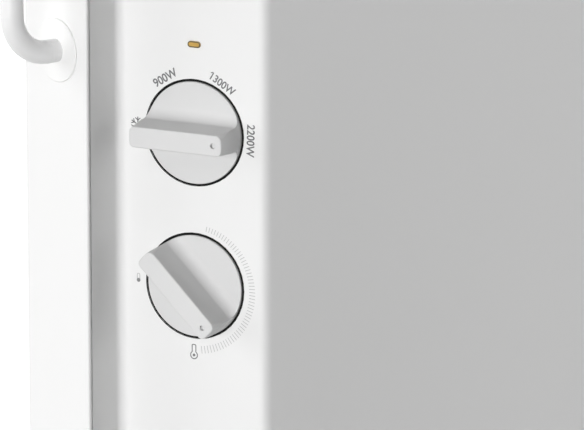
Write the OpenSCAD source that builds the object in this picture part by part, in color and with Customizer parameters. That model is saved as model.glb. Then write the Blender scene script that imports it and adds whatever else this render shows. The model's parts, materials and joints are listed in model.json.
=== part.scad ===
// Free-standing convector heater with two end-mounted knobs and a tubular rail.
// Millimetres, Z up, front face toward -Y, control end toward -X.

/* [Casing] */
// Width over the two rims of the rear cover
rim_width = 680; // [640:10:760]
// Height of the folded casing sheets
body_height = 400; // [380:10:460]
// Depth of the front box, from front face to rim wall
front_depth = 70; // [67:1:78]
// Depth of the rear cover behind the rim wall
rear_depth = 39.6; // [36:0.2:44]
// How far each rim stands out from the end panel
rim_step = 28.4; // [24:0.2:32]
// How far each flank slopes inward toward the back
flank_slope = 17.9; // [14:0.1:21]
// Thickness of the casing sheets
skin = 1.2; // [1:0.1:1.6]
// Outer bend radius of the casing corners
corner_r = 4.4; // [3:0.2:6]
// Bend radius in the hollow at the foot of the rim wall
hollow_r = 4.4; // [3:0.2:6]
// Rounding along the rim edge
rim_r = 0.9; // [0.6:0.1:1.1]
// Seam between the rim wall and the cover's edge
rim_gap = 0.8; // [0.6:0.1:1.6]
// Extra width of the cover's flush edge
rim_land = 0.2; // [0.1:0.1:0.6]
// Width of the cover's lip behind the rim wall
lip_width = 14; // [11:0.5:18]
// Length left free of the lip at top and bottom
lip_relief = 16; // [14:1:24]

/* [Grille] */
// Thickness of the grille frame
cap_t = 4; // [3:0.5:6]
// Raised bead above the frame
cap_bead = 1.2; // [0.8:0.2:2]
// Overhang of the frame beyond the casing
cap_over = 0.6; // [0.2:0.1:1]
// Border between the casing outline and the outlet
outlet_border = 13; // [11:0.5:18]
// Number of outlet blades
blade_count = 6; // [5:1:8]
// Blade thickness
blade_t = 1.6; // [1.2:0.2:2.4]
// Blade height along its slope
blade_h = 10; // [8:0.5:11]
// Blade lean
blade_lean = 24; // [10:1:32]
// Number of cross ribs
rib_count = 7; // [5:1:9]
// Rib and outlet wall thickness
rib_t = 1.8; // [1.4:0.2:2.4]
// Depth of the outlet wall under the casing edge
outlet_drop = 6; // [4:0.5:8]
// Depth of the locating skirts
skirt_drop = 12; // [11:0.5:14]
// Thickness of the locating skirts
skirt_t = 3; // [2.4:0.2:4]
// Distance from a skirt's end to the end panel
skirt_inset = 30; // [24:1:40]

/* [Base] */
// Thickness of the base pan
pan_t = 1.2; // [1:0.1:1.6]
// Height of the pan's front and rear flanges
pan_flange = 14; // [12:0.5:18]
// Clearance round the pan
pan_gap = 0.2; // [0.1:0.05:0.3]
// Inlet slot length
slot_length = 34; // [28:1:36]
// Inlet slot width
slot_width = 7; // [5:0.5:9]
// Distance between neighbouring inlet slots
slot_pitch = 22; // [18:1:28]
// Distance between the two slot rows
slot_row_gap = 8; // [6:0.5:12]

/* [Partitions] */
// Room for the controls, from rim to duct
control_bay = 105; // [98:1:115]
// Room at the other end, from rim to duct
end_bay = 55; // [50:1:65]
// Thickness of the partitions
bracket_t = 1; // [0.8:0.1:1.4]
// Width of the partition flanges
bracket_flange = 13; // [11:0.5:16]
// Air gap between a heat shield and the casing
shield_gap = 10; // [8:0.5:12]
// Thickness of the heat shields
shield_t = 0.8; // [0.6:0.1:1]
// Height of the shields' lower edge over the pan
shield_low = 36; // [30:1:44]
// Distance of the shields' upper edge below the casing edge
shield_high = 60; // [50:1:80]

/* [Heaters] */
// Height of the lower heater over the pan
heater_low = 84; // [78:1:92]
// Distance between the two heaters
heater_pitch = 60; // [56:1:66]
// Heater rod diameter
rod_d = 8.5; // [7:0.5:9]
// Wall of the tube in the finned block
core_wall = 3.6; // [3:0.2:4.6]
// Fin thickness
fin_t = 1.8; // [1.4:0.2:2.4]
// Distance between fins
fin_pitch = 8; // [7:0.5:9]
// Height of the tallest fins
fin_height = 44; // [36:1:48]
// Free length between a finned block and the partition
fin_margin = 18; // [14:1:24]
// Ceramic bush diameter in the partition
bush_d = 13; // [12:0.5:15]
// Ceramic bush flange diameter
bush_flange_d = 18; // [17:0.5:20]
// Running clearance of the rod in its bush and block
rod_clear = 0.05; // [0.03:0.01:0.08]

/* [Controls] */
// Power knob axis below the casing's top edge
knob_drop = 94; // [90:1:104]
// Distance between the two knob axes
knob_pitch = 66.5; // [62:0.5:74]
// Knob axis behind the front face
knob_setback = 34; // [33:0.5:36]
// Knob diameter
knob_d = 44; // [40:0.5:46]
// Gap between a knob and its hole
knob_gap = 1.1; // [0.8:0.1:1.5]
// Knob disc above the panel
knob_face = 0.9; // [0.5:0.1:2]
// Edge rounding of the knob disc
knob_edge = 0.4; // [0.2:0.1:0.6]
// Knob wing above the panel
wing_height = 18.6; // [17:0.2:22]
// Wing thickness at its top
wing_width = 9; // [8:0.1:10]
// Radius sweeping from wing to disc
wing_sweep = 4.8; // [4:0.2:8.4]
// Extra wing thickness at the sweep
wing_draft = 0.6; // [0.4:0.1:1.2]
// Inward lean of the wing's ends
wing_taper = 0.3; // [0.2:0.1:1.2]
// Corner radius at the wing's ends
wing_corner = 3.2; // [1.4:0.1:3.6]
// Edge rounding of the wing
wing_round = 0.7; // [0.5:0.1:1.2]
// Knob depth behind the panel's outer face
knob_depth = 6; // [5:0.5:7]
// Knob wall
knob_wall = 2; // [1.6:0.2:2.6]
// Knob bore above the panel's outer face
knob_grip = 7; // [5:0.5:9]
// Pointer dimple diameter
dimple_d = 2.3; // [1.8:0.1:3]
// Pointer dimple distance from the axis
dimple_radius = 17.8; // [15:0.1:18.2]
// Shaft diameter
shaft_d = 6; // [5:0.5:6.5]
// Running clearance of the shafts
shaft_clear = 0.05; // [0.03:0.01:0.08]
// Depth left after the flat on a shaft
shaft_flat = 4.6; // [4:0.1:4.8]
// Control plate behind the panel's outer face
chassis_depth = 12; // [11:0.5:14]
// Control plate width
chassis_width = 58; // [54:1:60]
// Control plate thickness
chassis_t = 1.2; // [1:0.1:1.6]
// Length of the control plate's feet
chassis_foot = 8; // [6:0.5:12]
// Bushing diameter in the control plate
bushing_d = 10; // [9:0.5:11]
// Selector housing side
selector_size = 34; // [33:1:38]
// Selector housing depth
selector_depth = 24; // [22:1:28]
// Selector housing wall
selector_wall = 3; // [2.6:0.2:3.2]
// Selector lid thickness
selector_lid_t = 2.4; // [2:0.2:3.4]
// Rotor diameter
rotor_d = 22; // [20:0.5:23]
// Rotor thickness
rotor_t = 6; // [5:0.5:7]
// Thermostat base thickness
thermo_base_t = 8; // [7:0.5:10]
// Distance from thermostat base to bimetal
bimetal_gap = 4; // [3.5:0.1:5]
// Bimetal thickness
bimetal_t = 0.8; // [0.6:0.1:1]
// Lamp above the power knob axis
lamp_rise = 38; // [36:0.5:42]
// Lens length
lens_length = 6; // [5:0.5:8]
// Lens width
lens_width = 2.7; // [2.3:0.1:4]
// Lens above the panel
lens_proud = 0.5; // [0.2:0.1:1]
// Neon lamp diameter
neon_d = 6; // [5:0.5:6.5]

/* [Rail] */
// Tube diameter
rail_d = 10; // [9:0.5:12]
// Tube wall
rail_wall = 1.2; // [1:0.1:1.5]
// Tube axis to flank distance
rail_standoff = 23.5; // [22.5:0.1:29]
// Centreline radius of the lower bends
rail_bend = 18; // [15:0.5:19.5]
// Centreline radius of the upper corners
rail_corner = 40; // [30:1:60]
// Height of the rail's axis over the casing's top edge
rail_rise = 52; // [46:1:70]
// Round plate diameter
plate_d = 27.4; // [24:0.2:30]
// Round plate thickness
plate_t = 0.8; // [0.7:0.1:2.4]
// Edge bevel of a round plate
plate_bevel = 0.3; // [0.2:0.1:0.6]
// Round plates behind the rim, along the flank
plate_set = 20.3; // [18:0.1:22]
// Round plates below the casing's top edge
plate_drop = 59.7; // [54:0.1:66]
// Threaded end diameter
stud_d = 8; // [7:0.5:8.5]
// Clearance round the threaded end
stud_clear = 0.1; // [0.05:0.05:0.2]
// Height of the weld bead at each end of a bend
bead = 0.05; // [0.04:0.01:0.1]
// Length of a weld bead
bead_l = 1.2; // [1:0.1:1.6]
// Nut width across its corners
nut_d = 15; // [14:0.5:16]
// Nut thickness
nut_t = 6; // [5:0.5:7]

/* [Feet] */
// Height of the casing's lower edge over the floor
foot_height = 45; // [42:1:55]
// Foot length from front to back
foot_length = 220; // [200:5:240]
// Foot width
foot_width = 32; // [30:1:38]
// Foot centre from the middle of the heater
foot_x = 215; // [190:5:225]
// Wall of the moulded foot
foot_wall = 3; // [2.4:0.2:3.6]
// Length of the foot's seat under the pan
foot_seat = 92; // [84:2:96]
// Toe height over the floor
toe_height = 15; // [14:0.5:18]
// Solid toe length
toe_length = 30; // [26:1:34]
// Level top of a toe
toe_level = 14; // [10:1:20]
// Rounding at the tip of a toe
toe_round = 5; // [3:0.5:7]
// Rise of the arch under a foot
arch_rise = 20; // [14:1:24]
// Distance between the two screws of a foot
foot_screw_pitch = 60; // [52:2:64]
// Pad diameter
pad_d = 20; // [16:1:22]
// Pad height under the toe
pad_t = 4; // [3:0.5:5]
// Pad stem diameter
pad_stem_d = 6; // [5:0.5:8]
// Pad stem length
pad_stem = 5; // [4:0.5:6]

/* [Fasteners] */
// Foot screw diameter
foot_screw_d = 4; // [3.5:0.5:5]
// Casing screw diameter
case_screw_d = 3.5; // [3:0.5:4]
// Control screw diameter
ctrl_screw_d = 3; // [2.5:0.5:3]
// Clearance round a screw where it passes
screw_pass = 0.2; // [0.1:0.05:0.3]
// Clearance round a screw where it holds
screw_grip = 0.03; // [0.02:0.01:0.05]
// Lower side screws above the casing's lower edge
side_screw_low = 110; // [80:5:140]
// Upper side screws below the casing's top edge
side_screw_high = 80; // [60:5:120]
// End screws of a row from the skirt's end
row_screw_in = 20; // [14:1:30]

/* [Mains] */
// Bore of the cord gland
gland_bore_d = 7.4; // [6.5:0.1:8.5]
// Neck diameter of the cord gland
gland_neck_d = 13; // [12:0.5:15]
// Flange diameter of the cord gland
gland_flange_d = 20; // [18:0.5:24]
// Length of the gland's outer sleeve
gland_sleeve = 12; // [8:1:16]
// Gland height over the casing's lower edge
gland_rise = 46; // [40:1:60]
// Height of the terminal block over the pan
terminal_rise = 52; // [46:1:54]
// Terminal block size along X
terminal_x = 16; // [14:1:20]
// Terminal block size along Y
terminal_y = 18; // [16:1:22]
// Distance between the terminal ways
terminal_pitch = 10; // [9:0.5:11]

// Height of the earth screw over the pan
earth_rise = 28; // [22:1:36]

/* [Wiring] */
// Insulated wire diameter
wire_d = 2.4; // [2:0.1:2.6]
// Lamp lead diameter
lead_d = 1.4; // [1:0.1:1.6]
// Height of the wire hole over the pan
pass_rise = 10; // [8:1:14]
// Wire hole diameter in the partitions
pass_d = 8; // [7:0.5:9]
// Distance from the wire hole to the front sheet
pass_inset = 10; // [9:0.5:12]

/* [Hidden] */
$fn = 48;
spill = 1;
kiss = 0.003;
half_rim = rim_width / 2;
half_front = half_rim - rim_step;
total_depth = front_depth + rear_depth;
y_front = -total_depth / 2;
y_wall = y_front + front_depth;
y_rear = total_depth / 2;
z_base = foot_height;
z_top = z_base + body_height;
flank_tan = flank_slope / rear_depth;
flank_angle = atan(flank_tan);
rim_edge = skin / cos(flank_angle) + skin * flank_tan + rim_land;
wall_end = half_rim - rim_edge - rim_gap;
y_in_front = y_front + skin;
y_in_rear = y_rear - skin;
duct_left = control_bay - half_rim;
duct_right = half_rim - end_bay;
duct_mid = (duct_left + duct_right) / 2;
duct_length = duct_right - duct_left;
z_pan = z_base + pan_t;
z_low = z_pan + heater_low;
z_high = z_low + heater_pitch;
z_cutout = z_high + heater_pitch;
z_power = z_top - knob_drop;
z_thermo = z_power - knob_pitch;
z_lamp = z_power + lamp_rise;
y_knob = y_front + knob_setback;
power_turn = 90;
thermo_turn = 135;
z_plate = z_top - plate_drop;
plate_y = y_wall + plate_set * cos(flank_angle);
plate_x = half_rim - plate_set * sin(flank_angle);
leg_x = plate_x + rail_standoff * cos(flank_angle);
leg_y = plate_y + rail_standoff * sin(flank_angle);
z_rail = z_top + rail_rise;
fin_half = fin_height / 2;
fin_first = rod_d / 2 + core_wall + fin_t + 2;
gauge_out = chassis_depth + chassis_t;
hub_d = shaft_d + 5;
sweep_half = wing_width / 2 + wing_draft + wing_sweep;
wing_shoulder = knob_face + wing_sweep;
wing_reach = knob_d / 2 - wing_taper;
flat_y = shaft_flat - shaft_d / 2;
dimple_depth = 1.4;
case_head_d = case_screw_d * 2;
case_head_h = case_screw_d * 0.6;
case_screw_l = 8;
foot_head_d = foot_screw_d * 2;
foot_head_h = foot_screw_d * 0.6;
foot_boss_h = 14;
foot_rib_t = 2;
ctrl_head_d = ctrl_screw_d * 1.9;
ctrl_head_h = ctrl_screw_d * 0.6;
ctrl_screw_l = 6;
selector_screw = selector_size / 2 - 3;
thermo_length = 42;
thermo_height = 28;
thermo_screw = thermo_length / 2 - 4.5;
gland_x = (duct_left - half_rim) / 2 + 4;
z_gland = z_base + gland_rise;
gland_nut_t = 5;
gland_flange_t = 2.4;
z_terminal = z_pan + terminal_rise;
skirt_half = half_front - skirt_inset;
low_screw_z = z_base + pan_flange / 2;
high_screw_z = z_top - skirt_drop / 2;
rim_screws = [row_screw_in - skirt_half, duct_mid, skirt_half - row_screw_in];
side_screw_z = [z_base + side_screw_low, z_top - side_screw_high];
side_screw_in = bracket_t + bracket_flange / 2;
foot_screw_y = foot_screw_pitch / 2;
pad_y = foot_length / 2 - foot_width / 2;
toe_inner = foot_length / 2 - toe_length;
toe_drop = z_base - toe_height;
toe_run = (foot_length - foot_seat) / 2 - toe_level;
toe_sweep = (toe_run * toe_run + toe_drop * toe_drop) / (2 * toe_drop);
cutout_d = 16;
lamp_set = 6;
cutout_h = 9;
cutout_boss_d = 9.4;
cutout_tab_y = 2.6;
terminal_way = 5;
terminal_screw_d = 4;
earth_screw_d = 4;
earth_y = -20;
contact_x = 6.5;
contact_y = 9;
lead_y = 1;
bimetal_l = 36;
bimetal_x = bimetal_l / 2 - 4;
arch_r = (toe_inner * toe_inner + arch_rise * arch_rise) / (2 * arch_rise);
bay_x = duct_left - bracket_t;
way_x = bay_x - terminal_x / 2 + (terminal_way - wire_d) / 2 - 0.3;
x_contact = gauge_out + selector_depth + selector_lid_t - half_front;
tab_width = 6.3;
tab_t = 0.8;
tab_out = 8;
sleeve_l = 8.5;
sleeve_wall = 1.2;
ring_d = 8;
stud_over = 12;
stud_l = 9;
stud_mid = stud_over + stud_l / 2;
grommet_lip = 1.4;
pass_y = y_in_front + pass_inset;
z_pass = z_pan + pass_rise;
z_earth = z_pan + earth_rise;
x_lead = gauge_out + lamp_set + 8 - half_front;
white = [0.93, 0.93, 0.92];
steel = [0.72, 0.73, 0.75];
alloy = [0.8, 0.81, 0.82];
brass = [0.8, 0.66, 0.35];
dark = [0.2, 0.2, 0.21];
ceramic = [0.95, 0.93, 0.88];

function flank_x(y, inset) = half_rim - (y - y_wall) * flank_tan - inset / cos(flank_angle);

// Corner waste between two edges that leave a corner at the angles a and b.
// The arc passes both edges by the kiss, so that it crosses them cleanly.
module rounding(corner, a, b, r) {
    half = abs(b - a) / 2;
    mid = (a + b) / 2;
    ray = [cos(mid), sin(mid)];
    centre = corner + r / sin(half) * ray;
    near_a = corner + r / tan(half) * [cos(a), sin(a)];
    near_b = corner + r / tan(half) * [cos(b), sin(b)];
    out = (r + spill) / r;
    difference() {
        polygon([
            centre + out * (near_a - centre),
            corner - spill / sin(half) * ray,
            centre + out * (near_b - centre),
            centre
        ]);
        translate(centre) circle(r = r + kiss);
    }
}

module both_ends() {
    children();
    mirror([1, 0, 0]) children();
}

// Plan outline of the casing, moved inward by inset.
module plan(inset) {
    rim_x = flank_x(y_wall + inset, inset);
    back_x = flank_x(y_rear - inset, inset);
    difference() {
        union() {
            translate([inset - half_front, y_front + inset])
                square([2 * (half_front - inset), front_depth + spill]);
            polygon([
                [-rim_x, y_wall + inset], [rim_x, y_wall + inset],
                [back_x, y_rear - inset], [-back_x, y_rear - inset]
            ]);
            both_ends() hollow_fill(inset);
        }
        both_ends() {
            rounding([half_front - inset, y_front + inset], 180, 90, corner_r - inset);
            rounding([back_x, y_rear - inset], 180, 270 + flank_angle, corner_r - inset);
            if (rim_r > inset)
                rounding([rim_x, y_wall + inset], 180, 90 + flank_angle, rim_r - inset);
        }
    }
}

module hollow_fill(inset) {
    difference() {
        translate([half_front - inset - spill, y_wall - hollow_r])
            square([hollow_r + inset + spill, hollow_r + inset + spill]);
        translate([half_front + hollow_r, y_wall - hollow_r]) circle(r = hollow_r + inset);
    }
}

module skin_ring() {
    difference() {
        plan(0);
        plan(skin);
    }
}

// Panel frame: x toward the front, y up, z outward, from the knob axis plane.
module on_panel() {
    translate([-half_front, y_knob, 0]) rotate([90, 0, -90]) children();
}

module pill(length, width) {
    translate([(width - length) / 2, -width / 2]) square([length - width, width]);
    for (end = [-1, 1])
        translate([end * (length - width) / 2, 0]) circle(d = width);
}

module case_screw_places() {
    for (x = rim_screws) {
        translate([x, y_rear, low_screw_z]) rotate([-90, 0, 0]) children();
        translate([x, y_rear, high_screw_z]) rotate([-90, 0, 0]) children();
    }
    for (z = side_screw_z) {
        translate([duct_left - side_screw_in, y_rear, z]) rotate([-90, 0, 0]) children();
        translate([duct_right + side_screw_in, y_rear, z]) rotate([-90, 0, 0]) children();
    }
}

module case_screw_holes(clear) {
    case_screw_places()
        translate([0, 0, -case_screw_l - spill])
            cylinder(d = case_screw_d + 2 * clear, h = case_screw_l + 2 * spill);
}

module on_flank() {
    translate([plate_x, plate_y, z_plate]) rotate([0, 0, flank_angle]) rotate([0, 90, 0]) children();
}

module front_shell() {
    color(white)
    difference() {
        translate([0, 0, z_base])
            linear_extrude(body_height)
                intersection() {
                    skin_ring();
                    translate([-wall_end, y_front - spill])
                        square([2 * wall_end, front_depth + skin + spill]);
                }
        on_panel() {
            for (y = [z_power, z_thermo])
                translate([0, y, -skin - spill])
                    cylinder(d = knob_d + 2 * knob_gap, h = skin + 2 * spill);
            translate([0, z_lamp, -skin - spill])
                linear_extrude(skin + 2 * spill)
                    pill(lens_length + 2 * screw_grip, lens_width + 2 * screw_grip);
        }
    }
}

module rear_cover() {
    lip_end = half_rim - 1.5 * skin * flank_tan - skin / 2 / cos(flank_angle);
    color(white)
    difference() {
        union() {
            translate([0, 0, z_base])
                linear_extrude(body_height)
                    difference() {
                        skin_ring();
                        translate([rim_edge - half_rim, y_front - spill])
                            square([2 * (half_rim - rim_edge), front_depth + skin + spill]);
                    }
            both_ends()
                translate([half_rim - lip_width, y_wall + skin, z_base + lip_relief])
                    cube([lip_end - half_rim + lip_width, skin, body_height - 2 * lip_relief]);
        }
        case_screw_holes(screw_pass);
        both_ends() on_flank()
            translate([0, 0, -skin - spill])
                cylinder(d = stud_d + 2 * stud_clear, h = skin + 2 * spill);
        translate([gland_x, y_rear + spill, z_gland]) rotate([90, 0, 0])
            cylinder(d = gland_neck_d + 2 * screw_grip, h = skin + 2 * spill);
    }
}

module top_grille() {
    x0 = duct_left + outlet_border;
    x1 = duct_right - outlet_border;
    y0 = y_front + outlet_border;
    y1 = y_rear - outlet_border;
    step = (y1 - y0) / blade_count;
    bar = (x1 - x0 - rib_t) / (rib_count - 1);
    deep = cap_t + outlet_drop;
    color(white) {
        difference() {
            union() {
                translate([0, 0, z_top]) linear_extrude(cap_t) plan(-cap_over);
                translate([0, 0, z_top + cap_t]) linear_extrude(cap_bead) plan(cap_bead);
                translate([x0 - rib_t, y0 - rib_t, z_top - outlet_drop])
                    cube([x1 - x0 + 2 * rib_t, y1 - y0 + 2 * rib_t, deep]);
                for (y = [y_in_front, y_in_rear - skirt_t])
                    translate([-skirt_half, y, z_top - skirt_drop])
                        cube([2 * skirt_half, skirt_t, skirt_drop + spill]);
            }
            translate([x0, y0, z_top - outlet_drop - spill])
                cube([x1 - x0, y1 - y0, deep + cap_bead + 2 * spill]);
            case_screw_holes(screw_grip);
        }
        intersection() {
            translate([x0 - rib_t / 2, y0 - rib_t / 2, z_top - outlet_drop])
                cube([x1 - x0 + rib_t, y1 - y0 + rib_t, deep + cap_bead]);
            union() {
                for (i = [0 : blade_count - 1])
                    translate([x0 - rib_t, y0 + (i + 0.5) * step, z_top - outlet_drop + deep / 2])
                        rotate([blade_lean, 0, 0])
                            translate([0, -blade_t / 2, -blade_h / 2])
                                cube([x1 - x0 + 2 * rib_t, blade_t, blade_h]);
                for (i = [1 : rib_count - 2])
                    translate([x0 + i * bar, y0 - rib_t, z_top - outlet_drop])
                        cube([rib_t, y1 - y0 + 2 * rib_t, deep]);
            }
        }
    }
}

function slot_x(i, count) = duct_mid + (i - (count - 1) / 2) * slot_pitch;

module base_pan() {
    wide = half_front - skirt_inset;
    count = floor((duct_length - 2 * slot_width) / slot_pitch);
    color(white)
    difference() {
        union() {
            translate([0, 0, z_base]) linear_extrude(pan_t) plan(skin + pan_gap);
            for (y = [y_in_front, y_in_rear - pan_t])
                translate([-wide, y, z_base]) cube([2 * wide, pan_t, pan_flange]);
        }
        for (i = [0 : count - 1], y = [-slot_length - slot_row_gap / 2, slot_row_gap / 2])
            if (abs(abs(slot_x(i, count)) - foot_x) > foot_width / 2 + slot_width)
                translate([slot_x(i, count) - slot_width / 2, y, z_base - spill])
                    cube([slot_width, slot_length, pan_t + 2 * spill]);
        for (x = [-foot_x, foot_x], y = [-foot_screw_y, foot_screw_y])
            translate([x, y, z_base - spill])
                cylinder(d = foot_screw_d + 2 * screw_grip, h = pan_t + 2 * spill);
        case_screw_holes(screw_grip);
    }
}

// Partition drawn for the end that faces +X, its duct face at x = 0.
module partition() {
    height = z_top - lip_relief - z_pan;
    notch = pan_t + 1;
    notch_h = pan_flange - pan_t + 1 + spill;
    difference() {
        union() {
            translate([0, y_in_front, z_pan])
                cube([bracket_t, y_in_rear - y_in_front, height]);
            for (y = [y_in_front, y_in_rear - bracket_t])
                translate([0, y, z_pan])
                    cube([bracket_t + bracket_flange, bracket_t, height]);
        }
        for (y = [y_in_front - spill, y_in_rear - notch])
            translate([-spill, y, z_pan - spill])
                cube([bracket_t + bracket_flange + 2 * spill, notch + spill, notch_h]);
        for (z = [z_low, z_high])
            translate([-spill, 0, z]) rotate([0, 90, 0])
                cylinder(d = bush_d + 2 * screw_grip, h = bracket_t + 2 * spill);
        translate([-spill, pass_y, z_pass]) rotate([0, 90, 0])
            cylinder(d = pass_d + 2 * screw_grip, h = bracket_t + 2 * spill);
    }
}

module partition_left() {
    color(steel)
    difference() {
        translate([duct_left, 0, 0]) mirror([1, 0, 0]) partition();
        case_screw_holes(screw_grip);
        translate([bay_x - spill, 0, z_cutout]) rotate([0, 90, 0])
            cylinder(d = cutout_boss_d + 2 * screw_pass, h = bracket_t + 2 * spill);
        translate([bay_x - spill, earth_y, z_earth]) rotate([0, 90, 0])
            cylinder(d = earth_screw_d + 2 * screw_grip, h = bracket_t + 2 * spill);
    }
}

module partition_right() {
    color(steel)
    difference() {
        translate([duct_right, 0, 0]) partition();
        case_screw_holes(screw_grip);
    }
}

// Shield against the front; the rear one is its mirror image.
module shield(y, flange) {
    low = z_pan + shield_low;
    tall = z_top - shield_high - low;
    translate([duct_left, y, low]) cube([duct_length, shield_t, tall]);
    for (x = [duct_left, duct_right - shield_t])
        translate([x, min(y, y + flange), low]) cube([shield_t, abs(flange), tall]);
}

module front_shield() {
    color(alloy) shield(y_in_front + shield_gap, -shield_gap + 1);
}

module rear_shield() {
    color(alloy) shield(y_in_rear - shield_gap - shield_t, shield_gap + shield_t - 1);
}

module fin_block(z, pairs) {
    reach = fin_first + (pairs - 1) * fin_pitch;
    translate([duct_left + fin_margin, 0, z])
        rotate([90, 0, 90])
            linear_extrude(duct_length - 2 * fin_margin)
                difference() {
                    union() {
                        circle(r = rod_d / 2 + core_wall);
                        translate([-reach, -fin_t / 2]) square([2 * reach, fin_t]);
                        for (side = [-1, 1], i = [0 : pairs - 1])
                            translate([
                                side * (fin_first + i * fin_pitch) - fin_t / 2,
                                i * fin_pitch / 2 - fin_half
                            ])
                                square([fin_t, fin_height - i * fin_pitch]);
                    }
                    circle(r = rod_d / 2 + rod_clear);
                }
}

module fins_900w() {
    color(alloy) fin_block(z_low, 2);
}

module fins_1300w() {
    color(alloy) fin_block(z_high, 3);
}

module rod(z) {
    translate([duct_left - stud_over, 0, z]) rotate([0, 90, 0])
        cylinder(d = rod_d, h = duct_length + 2 * stud_over);
    translate([duct_left - stud_over - stud_l, 0, z]) rotate([0, 90, 0])
        cylinder(d = rod_d / 2, h = duct_length + 2 * (stud_over + stud_l));
}

module rod_900w() {
    color(steel) rod(z_low);
}

module rod_1300w() {
    color(steel) rod(z_high);
}

module rod_bush() {
    rotate([0, 90, 0])
        difference() {
            union() {
                translate([0, 0, -3]) cylinder(d = bush_flange_d, h = 3);
                cylinder(d = bush_d, h = bracket_t + 6);
            }
            translate([0, 0, -3 - spill])
                cylinder(d = rod_d + 2 * rod_clear, h = bracket_t + 9 + 2 * spill);
        }
}

module rod_bushes() {
    color(ceramic)
    for (z = [z_low, z_high]) {
        translate([duct_right, 0, z]) rod_bush();
        translate([duct_left, 0, z]) mirror([1, 0, 0]) rod_bush();
    }
}

module thermal_cutout() {
    color(dark)
    translate([duct_left, 0, z_cutout]) rotate([0, 90, 0]) {
        cylinder(d = cutout_d + 8, h = 1.2);
        cylinder(d = cutout_d, h = cutout_h);
        translate([0, 0, cutout_h - spill]) cylinder(d = cutout_d * 0.7, h = 0.6 + spill);
        translate([0, 0, -bracket_t - 3]) cylinder(d = cutout_boss_d, h = bracket_t + 4);
        for (y = [-cutout_tab_y, cutout_tab_y])
            translate([-tab_width / 2, y - tab_t / 2, -bracket_t - 3 - tab_out])
                cube([tab_width, tab_t, tab_out + 2]);
    }
}

module terminal_frame() {
    translate([bay_x, 0, z_terminal]) children();
}

module terminal_block() {
    tall = 3 * terminal_pitch + 6;
    color(ceramic)
    terminal_frame()
        difference() {
            translate([-terminal_x, -terminal_y / 2, -tall / 2]) cube([terminal_x, terminal_y, tall]);
            for (i = [-1 : 1])
                translate([-terminal_x / 2, 0, i * terminal_pitch]) {
                    rotate([90, 0, 0])
                        cylinder(d = terminal_way, h = terminal_y + 2 * spill, center = true);
                    rotate([0, -90, 0])
                        cylinder(d = terminal_screw_d + 2 * screw_grip, h = terminal_x);
                }
            for (i = [-0.5, 0.5])
                translate([-terminal_x - spill, 0, i * terminal_pitch]) rotate([0, 90, 0])
                    cylinder(d = ctrl_screw_d + 2 * screw_pass, h = terminal_x + 2 * spill);
        }
}

module terminal_screws() {
    long = terminal_x / 2 - 1.5;
    color(brass)
    terminal_frame()
        for (i = [-1 : 1])
            translate([-terminal_x / 2 - 1, 0, i * terminal_pitch]) rotate([0, -90, 0])
                difference() {
                    cylinder(d = terminal_screw_d, h = long);
                    translate([-0.5, -terminal_screw_d, long - 1])
                        cube([1, 2 * terminal_screw_d, 1 + spill]);
                }
}

// Wire along its points; each bend is a small ball.
module wire(points, d = wire_d) {
    last = len(points) - 1;
    for (i = [0 : last - 1]) {
        step = points[i + 1] - points[i];
        translate(points[i])
            rotate([0, acos(step[2] / norm(step)), atan2(step[1], step[0])]) {
                cylinder(d = d, h = norm(step), $fn = 16);
                if (i < last - 1)
                    translate([0, 0, norm(step)]) sphere(d = d + 2 * bead, $fn = 16);
            }
    }
}

// Sleeve pushed on a tab, its mouth at x = 0 and its back toward +X, the tab upright or level.
module sleeve(upright) {
    high = upright ? tab_width : tab_t;
    wide = upright ? tab_t : tab_width;
    difference() {
        translate([0, -wide / 2 - sleeve_wall, -high / 2 - sleeve_wall])
            cube([sleeve_l, wide + 2 * sleeve_wall, high + 2 * sleeve_wall]);
        translate([-spill, -wide / 2 - screw_grip, -high / 2 - screw_grip])
            cube([tab_out + spill, wide + 2 * screw_grip, high + 2 * screw_grip]);
    }
}

// Ring on a heater stud, its axis on X.
module ring() {
    rotate([0, 90, 0])
        difference() {
            cylinder(d = ring_d, h = wire_d + 1, center = true);
            cylinder(d = rod_d / 2 + 2 * screw_grip, h = wire_d + 1 + 2 * spill, center = true);
        }
}

function contact_at(x, y) = [x_contact, y_knob - x * contact_x, z_power + y * contact_y];
function way_at(i) = [way_x, 0, z_terminal + i * terminal_pitch];

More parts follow.
